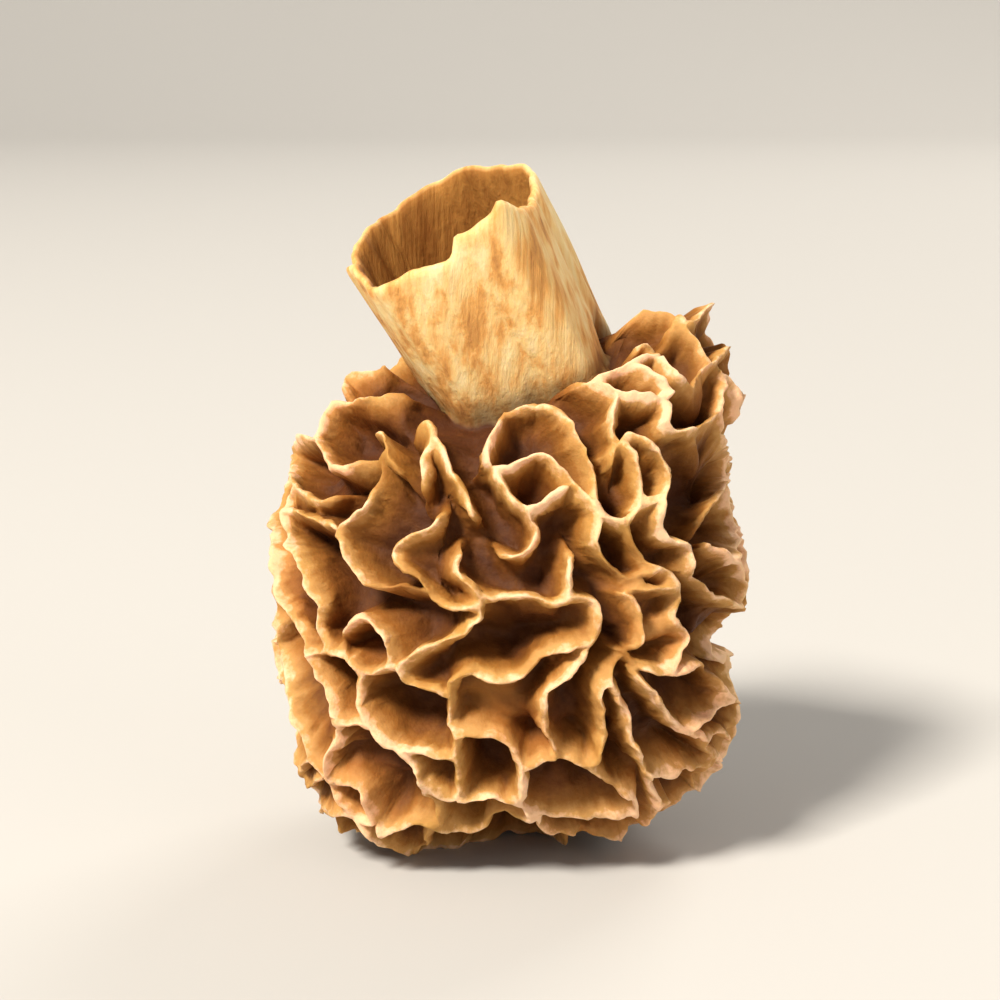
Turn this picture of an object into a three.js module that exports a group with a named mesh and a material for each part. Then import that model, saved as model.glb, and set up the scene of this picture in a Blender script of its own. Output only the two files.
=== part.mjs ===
// A dried morel: one hollow fruit body, grown as a single piece. A squat cap of winding ridges
// round deep pits rests on its flattened crown, and a short stem, cut open, leans out of the
// other end of the cap. Millimetres, +Z up, origin under the middle of the piece, where it rests.
import * as THREE from "three";
import { ConvexHull } from "three/addons/math/ConvexHull.js";

// Driving dimensions, in millimetres. Directions are taken from the middle of the cap.
const cap = {
  halfWidth: 10.6, // along X, to the tops of the ridges
  halfDepth: 10.4, // along Y
  halfHeight: 12.2, // along Z, before the crown is pressed flat
  squareness: 2.3, // 2 is an ellipsoid, and more is boxier
  lumps: 0.03, // slow unevenness, as a share of the radius
  restHeight: 11.7, // the middle of the cap stands this far above the surface
  wall: 1, // flesh between the pit floors and the hollow
};

// Where the cap swells beyond that form, or falls short of it.
const bulges = [
  { towards: [0.63, 0, 0.78], rise: 3.1, width: 0.4 },
  { towards: [-0.75, 0.1, 0.66], rise: -0.5, width: 0.35 },
  { towards: [-0.52, -0.35, -0.78], rise: 2, width: 0.4 },
  { towards: [0.5, -0.25, -0.83], rise: 0.7, width: 0.4 },
  { towards: [0.05, 0.62, -0.78], rise: 1.2, width: 0.45 },
];

const ridge = {
  height: 2.3, // top of a ridge above the pit floors
  crest: 0.58, // thickness along the top
  foot: 1.3, // thickness where it meets the pit floors
  fold: 0.45, // how far a ridge winds from side to side
  foldWave: 4.2, // from one bend to the next
  step: 1.25, // longest straight stretch of a ridge
};

const pit = {
  nearStem: 2.25, // spacing of the pits beside the stem
  atCrown: 3, // and at the crown
  dish: 0.25, // how far a floor dips in its middle
  shallow: 0.45, // depth of a shallow pit, as a share of the usual one
};

const neck = {
  towards: [0.08, -0.13, 0.99],
  halfAngle: 27, // degrees, from the middle of the stem to its side
  collar: 6.5, // degrees, half the width of the row of pits round the stem
  pits: 12, // in that row
};

const stem = {
  towards: [-0.4, -0.27, 0.87],
  length: 9.2, // from the neck to the cut end, of which the ridges hide the first part
  radius: 4.6,
  wall: 0.75,
  faces: [-2, 78, 145, -155, -90], // degrees round the stem, where its flatter sides face
  angular: 0.5, // 0 is round and 1 has flat sides
  rings: 5,
};

const hollowRings = 8;
const degree = Math.PI / 180;

// Pits on the front, as [across, up] from the middle of the cap, seen from a little above.
// A long one opens into the one before it, and a shallow one is more a broad knot of ridges.
const viewedFrom = 12; // degrees above level
const frontPits = [
  [-8.6, 4.8], [-7.4, 6.8], [-5.5, 3.8], [-5.9, 1.1], [-4.3, 6.3],
  [-3.7, 1], [-3, 3.5], [-1.9, 6.5], [-0.6, 3.1], [1, 5.1],
  [1.4, 7.5], [2.1, 2.9], [-0.8, 1.2], [3.4, 8], [4.2, 4.7],
  [5.5, 7.2], [5.3, 9.5], [5.8, 11.6], [7.8, 10.4], [7, 5],
  [9.2, 3.2], [9.6, 6.9], [4.3, 1.7], [6.4, 2.2], [8.8, 0.5],
  [4.6, -1.4], [8.4, -1.8], [-3.4, -3], [0.4, -2, "long"], [-4.1, -1.2],
  [-7.9, 1.6], [-7.8, -0.6, "long"], [-6.4, -2.3], [-7.7, -4.1], [-8.4, -6.2],
  [-4.7, -5.8], [-9.8, -1.8], [-9.8, -4.2, "long"], [2.4, -5.8], [5, -6.6],
  [7.4, -4.8], [9, -6.5], [6.6, -8.6, "long"], [-0.8, -5.2, "shallow"], [-1.2, -7.9],
  [-8.4, -9], [-6.4, -9.2], [-6.5, -11], [-3.2, -10.2], [0.3, -10.2],
];

const toVector = (list) => new THREE.Vector3(...list).normalize();
for (const bulge of bulges) bulge.direction = toVector(bulge.towards);

// Numbers between 0 and 1, the same on every run.
let seed = 20117;
function random() {
  seed = (Math.imul(seed, 1664525) + 1013904223) >>> 0;
  return seed / 2 ** 32;
}

// Smooth unevenness between -1 and 1. wave is the distance from one swell to the next.
function swell(point, wave, shift) {
  const k = (2 * Math.PI) / wave;
  const along = Math.sin(k * (point.x + 0.41 * point.y) + shift);
  const across = Math.sin(k * (0.87 * point.y - 0.36 * point.z) + 2.3 * shift);
  const upward = Math.sin(k * (0.93 * point.z + 0.29 * point.x) + 4.1 * shift);
  return (along + across + upward) / 3;
}

// How far the pit floors lie from the middle of the cap in one direction.
function floorRadius(direction) {
  const p = cap.squareness;
  const boxy =
    Math.abs(direction.x / cap.halfWidth) ** p +
    Math.abs(direction.y / cap.halfDepth) ** p +
    Math.abs(direction.z / cap.halfHeight) ** p;
  let radius = boxy ** (-1 / p);
  radius *= 1 + cap.lumps * swell(direction.clone().multiplyScalar(radius), 14, 0.7);
  for (const bulge of bulges) {
    const away = direction.angleTo(bulge.direction) / bulge.width;
    radius += bulge.rise * Math.exp(-away * away);
  }
  return radius - ridge.height;
}

const atHeight = (direction, height) => direction.clone().multiplyScalar(floorRadius(direction) + height);

// The neck, where the stem leaves the cap: its axis and two directions square to it.
const neckAxis = toVector(neck.towards);
const neckSide = new THREE.Vector3(1, 0, 0).addScaledVector(neckAxis, -neckAxis.x).normalize();
const neckBack = new THREE.Vector3().crossVectors(neckAxis, neckSide);

function roundNeck(angle, turn) {
  return neckAxis
    .clone()
    .multiplyScalar(Math.cos(angle))
    .addScaledVector(neckSide, Math.sin(angle) * Math.cos(turn))
    .addScaledVector(neckBack, Math.sin(angle) * Math.sin(turn));
}

const turnOf = (direction) => Math.atan2(direction.dot(neckBack), direction.dot(neckSide));

// The direction of a point on the front of the cap, found again at each guess of how far out it is.
function onFront([across, up]) {
  const sin = Math.sin(viewedFrom * degree);
  const cos = Math.cos(viewedFrom * degree);
  const direction = new THREE.Vector3();
  let out = cap.halfDepth;
  for (let guess = 0; guess < 8; guess++) {
    direction.set(across, up * sin - out * cos, up * cos + out * sin).normalize();
    const radius = floorRadius(direction) + ridge.height;
    out = Math.sqrt(Math.max(0, radius ** 2 - across ** 2 - up ** 2));
  }
  return direction;
}

function anyDirection() {
  const z = 1 - 2 * random();
  const turn = 2 * Math.PI * random();
  const flat = Math.sqrt(1 - z * z);
  return new THREE.Vector3(flat * Math.cos(turn), flat * Math.sin(turn), z);
}

// The middles of the pits, as directions: first some inside the neck, which only mark it off,
// then the row round the stem, the front and, wherever there is room, the rest.
function placePits() {
  const inner = (neck.halfAngle - neck.collar) * degree;
  const outer = (neck.halfAngle + neck.collar) * degree;
  const stepRound = (2 * Math.PI) / neck.pits;
  const turns = Array.from({ length: neck.pits }, (_, i) => (i + 0.4 * random()) * stepRound);
  const pits = [{ direction: neckAxis.clone(), inNeck: true }];
  for (const turn of turns) pits.push({ direction: roundNeck(inner, turn), inNeck: true });
  for (const turn of turns) pits.push({ direction: roundNeck(outer, turn) });
  for (const [across, up, kind] of frontPits) {
    const direction = onFront([across, up]);
    if (direction.angleTo(neckAxis) > outer + 0.12) pits.push({ direction, kind });
  }
  for (const each of pits) each.place = atHeight(each.direction, 0);
  for (let tries = 0; tries < 9000; tries++) {
    const direction = anyDirection();
    if (direction.angleTo(neckAxis) < outer) continue;
    const place = atHeight(direction, 0);
    const downCap = (1 - direction.dot(neckAxis)) / 2;
    const spacing = THREE.MathUtils.lerp(pit.nearStem, pit.atCrown, downCap) * (1 + 0.15 * swell(place, 9, 3.1));
    if (pits.every((other) => other.place.distanceTo(place) > spacing)) pits.push({ direction, place });
  }
  return pits;
}

// Three neighbouring pits meet at one junction of their ridges.
const pits = placePits();
const numberOf = new Map(pits.map((each, i) => [each.direction, i]));
const hull = new ConvexHull().setFromPoints(pits.map((each) => each.direction));
const junctions = hull.faces.map((face) => {
  const around = [face.edge, face.edge.next, face.edge.prev].map((edge) => numberOf.get(edge.head().point));
  const middle = around.reduce((sum, i) => sum.add(pits[i].direction), new THREE.Vector3()).divideScalar(3);
  const inNeck = around.every((i) => pits[i].inNeck);
  const onNeck = !inNeck && around.some((i) => pits[i].inNeck);
  return { around, middle, inNeck, onNeck, direction: middle.clone().normalize() };
});

const vertices = [];
const triangles = [];
const addVertex = (point) => vertices.push(point) - 1;

// Joins two loops of the same length. They run anticlockwise, seen from outside.
function strip(from, to) {
  from.forEach((vertex, i) => {
    const next = (i + 1) % from.length;
    triangles.push([vertex, from[next], to[next]], [vertex, to[next], to[i]]);
  });
}

function fan(loop, middle) {
  loop.forEach((vertex, i) => triangles.push([vertex, loop[(i + 1) % loop.length], middle]));
}

// A point along the top of a ridge, which winds and rises and falls. share is 0 at a pit floor.
function crestPoint(direction, share) {
  const point = atHeight(direction, ridge.height * share);
  const winding = new THREE.Vector3(
    swell(point, ridge.foldWave, 1.3),
    swell(point, ridge.foldWave, 2.9),
    swell(point, ridge.foldWave, 4.4),
  );
  return point.addScaledVector(winding, ridge.fold * share);
}

// The neck is a level ring, low between the ridges, that the stem stands on.
for (const junction of junctions) {
  if (junction.inNeck) continue;
  if (junction.onNeck) junction.direction = roundNeck(neck.halfAngle * degree, turnOf(junction.direction));
  junction.share = junction.onNeck ? 0.15 : 0.93 + 0.14 * swell(atHeight(junction.direction, 0), 5, 5.2);
  junction.vertex = addVertex(crestPoint(junction.direction, junction.share));
}

// How far the middle of a ridge sags below its ends. Some sag almost to the pit floors.
function sagOf(a, b) {
  if (a.onNeck && b.onNeck) return 0;
  const sides = a.around.filter((i) => b.around.includes(i));
  const opened = Math.max(...sides);
  if (pits[opened].kind === "long" && sides.includes(opened - 1)) return 0.9;
  const middle = a.direction.clone().add(b.direction).normalize();
  return THREE.MathUtils.clamp(0.1 + 1.1 * swell(atHeight(middle, 0), 3.7, 0.4), 0, 0.6);
}

// The vertices along the ridge between two junctions, without its ends.
const ridges = new Map();
function ridgeBetween(from, to) {
  const [a, b] = from.vertex < to.vertex ? [from, to] : [to, from];
  const key = `${a.vertex} ${b.vertex}`;
  if (!ridges.has(key)) {
    const onNeck = a.onNeck && b.onNeck;
    const length = atHeight(a.direction, ridge.height).distanceTo(atHeight(b.direction, ridge.height));
    const steps = Math.max(1, Math.round(length / ridge.step));
    const sag = sagOf(a, b);
    const along = [];
    for (let i = 1; i < steps; i++) {
      const t = i / steps;
      let direction = a.direction.clone().lerp(b.direction, t).normalize();
      if (onNeck) direction = roundNeck(neck.halfAngle * degree, turnOf(direction));
      const share = THREE.MathUtils.lerp(a.share, b.share, t) * (1 - sag * Math.sin(Math.PI * t));
      along.push(addVertex(crestPoint(direction, share)));
    }
    ridges.set(key, { along, onNeck });
  }
  const { along } = ridges.get(key);
  return a === from ? along : [...along].reverse();
}

// The junctions round one pit, anticlockwise from outside.
function junctionsRound(index) {
  const axis = pits[index].direction;
  const side = new THREE.Vector3(0.31, 0.52, 0.79).cross(axis).normalize();
  const back = new THREE.Vector3().crossVectors(axis, side);
  const angle = ({ middle }) => Math.atan2(middle.dot(back), middle.dot(side));
  return junctions.filter(({ around }) => around.includes(index)).sort((a, b) => angle(a) - angle(b));
}

// One pit: its half of the ridges round it, the walls down to its floor, and the dished floor.
function addPit(index) {
  const corners = junctionsRound(index);
  const crest = corners.flatMap((corner, i) => [
    corner.vertex,
    ...ridgeBetween(corner, corners[(i + 1) % corners.length]),
  ]);
  const { direction, kind } = pits[index];
  const floor = kind === "shallow" ? ridge.height * (1 - pit.shallow) : 0;
  const inwards = (point, distance) => {
    const target = direction.clone().multiplyScalar(point.length());
    return point.clone().lerp(target, Math.min(0.45, distance / point.distanceTo(target)));
  };
  const tops = crest.map((vertex) => vertices[vertex]);
  const lip = tops.map((point) => addVertex(inwards(point, ridge.crest / 2)));
  const foot = tops.map((point) => addVertex(atHeight(inwards(point, ridge.foot / 2).normalize(), floor)));
  strip(crest, lip);
  strip(lip, foot);
  fan(foot, addVertex(atHeight(direction, floor - pit.dish)));
}

// The vertices of the neck ring, each with its turn round the stem.
function neckRing() {
  const ring = junctions.filter(({ onNeck }) => onNeck).map(({ vertex }) => vertex);
  for (const { along, onNeck } of ridges.values()) if (onNeck) ring.push(...along);
  return ring.map((vertex) => [vertex, turnOf(vertices[vertex])]).sort((a, b) => a[1] - b[1]);
}

// How far out the side of the stem is at one turn: a circle with flatter sides.
function sectionAt(turn) {
  const sides = stem.faces.map((face) => Math.max(0, Math.cos(turn - face * degree)) ** 12);
  const flatSided = sides.reduce((sum, side) => sum + side) ** (-1 / 12);
  return THREE.MathUtils.lerp(1, flatSided, stem.angular);
}

// The cut end: longest on the left, shorter at the back on the right, and ragged.
const cutAt = (turn) => -0.15 - 0.95 * Math.cos(turn - 0.35) + 0.22 * Math.sin(5 * turn + 1.1);

const stemAxis = toVector(stem.towards);
const bend = new THREE.Quaternion().setFromUnitVectors(neckAxis, stemAxis);
const neckMiddle = neckAxis.clone().multiplyScalar(floorRadius(neckAxis) * Math.cos(neck.halfAngle * degree) + 0.4);

function stemPoint(turn, share, wall) {
  const bent = new THREE.Quaternion().slerp(bend, THREE.MathUtils.smoothstep(share, 0, 0.35));
  const side = roundNeck(Math.PI / 2, turn).applyQuaternion(bent);
  const along = stem.length * share + (share === 1 ? cutAt(turn) : 0);
  const waist = 1 - 0.05 * Math.sin(Math.PI * share);
  const radius = stem.radius * sectionAt(turn) * waist - wall;
  return neckMiddle.clone().addScaledVector(stemAxis, along).addScaledVector(side, radius);
}

// The stem up to its cut end, back down inside it, and the hollow of the cap.
function addStemAndHollow() {
  const ring = neckRing();
  let last = ring.map(([vertex]) => vertex);
  const grow = (place) => {
    const next = ring.map(([, turn]) => addVertex(place(turn)));
    strip(last, next);
    last = next;
  };
  for (let i = 1; i <= stem.rings; i++) grow((turn) => stemPoint(turn, i / stem.rings, 0));
  for (let i = stem.rings; i >= 0; i--) grow((turn) => stemPoint(turn, i / stem.rings, stem.wall));
  for (let i = 0; i < hollowRings; i++) {
    const angle = THREE.MathUtils.lerp(neck.halfAngle + 5, 168, i / (hollowRings - 1)) * degree;
    grow((turn) => atHeight(roundNeck(angle, turn), -cap.wall));
  }
  fan(last, addVertex(atHeight(neckAxis.clone().negate(), -cap.wall)));
}

pits.forEach((each, i) => {
  if (!each.inNeck) addPit(i);
});
addStemAndHollow();

// The crown is pressed flat where it dried, and the piece rests on it.
for (const vertex of vertices) vertex.z = Math.max(vertex.z + cap.restHeight, 0);
const middle = new THREE.Box3().setFromPoints(vertices).getCenter(new THREE.Vector3()).setZ(0);
for (const vertex of vertices) vertex.sub(middle);

const geometry = new THREE.BufferGeometry().setFromPoints(vertices);
geometry.setIndex(triangles.flat());
geometry.computeVertexNormals();

const driedFlesh = new THREE.MeshStandardMaterial({ color: 0xb98650, roughness: 0.85, metalness: 0 });
const morel = new THREE.Mesh(geometry, driedFlesh);
morel.name = "morel";

const part = new THREE.Group();
part.add(morel);
export default part;
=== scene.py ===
import math

import bmesh
import bpy
import numpy as np
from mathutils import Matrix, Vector, noise
from mathutils.geometry import delaunay_2d_cdt
from mathutils.kdtree import KDTree


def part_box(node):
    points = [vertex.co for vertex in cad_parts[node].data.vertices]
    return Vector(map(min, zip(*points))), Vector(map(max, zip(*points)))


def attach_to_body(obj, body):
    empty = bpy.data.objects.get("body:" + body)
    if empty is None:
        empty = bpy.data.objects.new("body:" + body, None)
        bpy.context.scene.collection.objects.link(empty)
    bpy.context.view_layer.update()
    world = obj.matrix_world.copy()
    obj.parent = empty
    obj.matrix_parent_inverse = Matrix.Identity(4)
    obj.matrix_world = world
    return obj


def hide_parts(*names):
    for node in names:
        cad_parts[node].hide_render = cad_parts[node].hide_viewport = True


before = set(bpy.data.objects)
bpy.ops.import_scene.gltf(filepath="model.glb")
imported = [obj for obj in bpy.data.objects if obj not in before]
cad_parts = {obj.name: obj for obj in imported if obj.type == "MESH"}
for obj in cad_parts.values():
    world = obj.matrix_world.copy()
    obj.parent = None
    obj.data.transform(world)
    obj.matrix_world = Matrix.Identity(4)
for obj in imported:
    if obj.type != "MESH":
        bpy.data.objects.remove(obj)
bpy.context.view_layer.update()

# A dried morel, modelled in millimetres round the middle of its cap, and made metres at the end.
# The cap is one skin of ridges and pits, laid out flat and wrapped round it; the stem, its cut end,
# the bore and the hollow grow from the opening in that skin.

cap = {
    "halfSizes": (10.6, 10.4, 12.2),  # to the tops of the ridges, along X, Y and Z
    "squareness": 2.3,  # 2 is an ellipsoid, and more is boxier
    "lumps": 0.03,  # slow unevenness, as a share of the radius
    "lumpSpacing": 14,
    "rough": [(1.6, 0.2), (0.75, 0.15), (0.4, 0.07)],  # size and depth of the unevenness all over
    "pressed": 0.2,  # how far the lowest ridges are pressed flat
    "wall": 1.6,  # flesh between the pit floors and the hollow
    # the hollow starts this many radians past the foot of the stem, and ends this far from the neck
    "hollow": {"rings": 14, "edge": 0.06, "crown": 2.93},
    # towards, rise, width: where the cap swells beyond that form, or falls short of it
    "bulges": [
        ((0.585, 0, 0.81), 3.3, 0.3),
        ((0.42, 0.05, 0.9), 0.9, 0.15),
        ((0.46, -0.45, 0.76), 1.7, 0.28),
        ((0.88, -0.1, 0.46), -0.9, 0.22),
        ((1, -0.05, -0.02), 0.7, 0.12),
        ((0.94, -0.1, -0.33), -2.3, 0.17),
        ((-0.45, 0.45, 0.77), -0.8, 0.3),
        ((0.85, -0.1, -0.52), 1, 0.2),
        ((-0.7, 0.1, 0.7), 0.4, 0.3),
        ((-0.52, -0.35, -0.78), 2, 0.4),
        ((0.5, -0.25, -0.83), 0.7, 0.4),
        ((0.05, 0.62, -0.78), 1.2, 0.45),
    ],
}

ridge = {
    "height": 2.3,  # top of a ridge above the pit floors
    "level": 0.95,  # usual height, as a share of the full one
    "unevenness": (0.1, 5),  # how much that varies, and over what length
    "sag": (0.55, 3.7),  # the same for the low stretches
    "ragged": [(1.1, 0, 0.3), (0.5, 4, 0.13)],  # size, shift and depth of the rags along the tops
    "folds": [(1.25, 4.4), (0.5, 2.3)],  # how far the ridges wind sideways, and from bend to bend
    "lean": 0.75,  # how far their feet stray from under their tops, as a share of that
    "step": 0.4,  # between two points along a ridge, before it is smoothed
    # ridges of the net that face the front less than this all stay (1 is straight on)
    "sides": 0.13,
    "limit": 0.55,  # and those that face it more than this all go
    "reach": 3,  # a drawn ridge that ends on the side runs on to the net if it is this near
    # across a ridge, from its middle out: how far, and how high
    "profile": [(0, 1), (0.09, 0.99), (0.16, 0.93), (0.24, 0.68), (0.34, 0.36), (0.62, 0.08)],
    "foot": 1.3,  # this far out it has come down to the floor
    "freeEnd": 0.9,  # a ridge that ends by itself comes down over this length
    "gap": 1.2,  # where the drawn ridges are further off than this, the net's come in between
    "stub": 1.5,  # a shorter one that joins nothing is left out
    "joined": 0.42,  # ends nearer than this to another ridge run into it
}

pit = {
    "nearStem": 2.25,  # spacing of the pits beside the stem
    "atCrown": 3,  # and at the crown
    "uneven": (0.15, 9),  # how much it varies, and over what length
    "tries": 9000,
    "points": 5200,  # on the floors, at this distance from each other and from the ridges
    "apart": (0.29, 0.95),
    "dish": 0.55,  # how far a floor dips in its middle
}

neck = {
    "towards": (0.08, -0.13, 0.99),
    "halfAngle": math.radians(27),  # from the middle of the stem to its side
    "collar": math.radians(6.5),  # half the width of the row of pits round the stem
    "pits": 12,  # in that row
    "clear": 0.12,  # radians from that row to the pits on the front
    "foot": math.radians(3),  # the ridges come down to the foot of the stem over this angle
    "depth": 0.6,  # the foot of the stem lies this far below the pit floors
}

stem = {
    "from": (0.42, 0.2, 9.8),  # where its middle line leaves the cap
    "towards": (-0.43, -0.27, 0.86),
    "length": 8.4,
    "footRange": (-1.5, 0.6),  # how far before and after that point its foot may lie
    "radius": 4.6,  # at the cut end
    "taper": 0.07,  # how much narrower its foot is
    "wall": 0.42,
    "lip": 0.06,  # how far the middle of the wall stands past the cut
    "points": 72,  # round it
    # degrees round the stem where its flatter sides face, and how far out they lie
    "faces": [(-5, 0.93), (60, 1), (110, 1), (155, 0.88), (-160, 0.95), (-90, 1)],
    "angular": 0.85,  # 0 is round and 1 has flat sides
    "crisp": 14,  # how sharply the sides meet
    "rings": 12,
    # degrees round the cut end, and how much further it reaches there
    "cut": [
        (-180, -0.3), (-168, 0), (-155, 0.3), (-146, 0.25), (-136, -0.35), (-125, -0.3),
        (-112, 0), (-100, 0.05), (-92, -0.2), (-81, -0.25), (-75, 0.75), (-67, 0.65), (-61, 0.8),
        (-54, 0.95), (-49, 1.7), (-41, 0.4), (-22, -0.4), (0, -0.5), (20, -0.4), (45, 0),
        (70, 0.4), (90, 0.2), (115, 0.1), (132, 0), (152, 0.3), (166, 0.1),
    ],
    "nicks": [(11, 0.4), (23, 0)],  # how many along the cut edge, and where they start
    "nickDepth": 0.06,
    "fold": (-78, 0.42, 4.5),  # degrees round it, how deep, and how many degrees wide
    "wrinkles": 0.2,  # how deep
    "wrinkleSizes": (0.85, 0.4),
    "drawnOut": 0.08,  # how much less they change along the stem than round it
}

# Pits on the front, as across and up from the middle of the cap, seen from a little above.
# They set the net of ridges beside the drawn ones.
viewedFrom = math.radians(12)
frontPits = [
    (-8.6, 4.8), (-7.4, 6.8), (-5.5, 3.8), (-5.9, 1.1), (-4.3, 6.3),
    (-3.7, 1), (-3, 3.5), (-1.9, 6.5), (-0.6, 3.1), (1, 5.1),
    (1.4, 7.5), (2.1, 2.9), (-0.8, 1.2), (3.4, 8), (4.2, 4.7),
    (5.5, 7.2), (5.3, 9.5), (5.8, 11.6), (7.8, 10.4), (7, 5),
    (9.2, 3.2), (9.6, 6.9), (4.3, 1.7), (6.4, 2.2), (8.8, 0.5),
    (4.6, -1.4), (8.4, -1.8), (-3.4, -3), (0.4, -2), (-4.1, -1.2),
    (-7.9, 1.6), (-7.8, -0.6), (-6.4, -2.3), (-7.7, -4.1), (-8.4, -6.2),
    (-4.7, -5.8), (-9.8, -1.8), (-9.8, -4.2), (2.4, -5.8), (5, -6.6),
    (7.4, -4.8), (9, -6.5), (6.6, -8.6), (-0.8, -5.2), (-1.2, -7.9),
    (-8.4, -9), (-6.4, -9.2), (-6.5, -11), (-3.2, -10.2), (0.3, -10.2),
]

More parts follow.
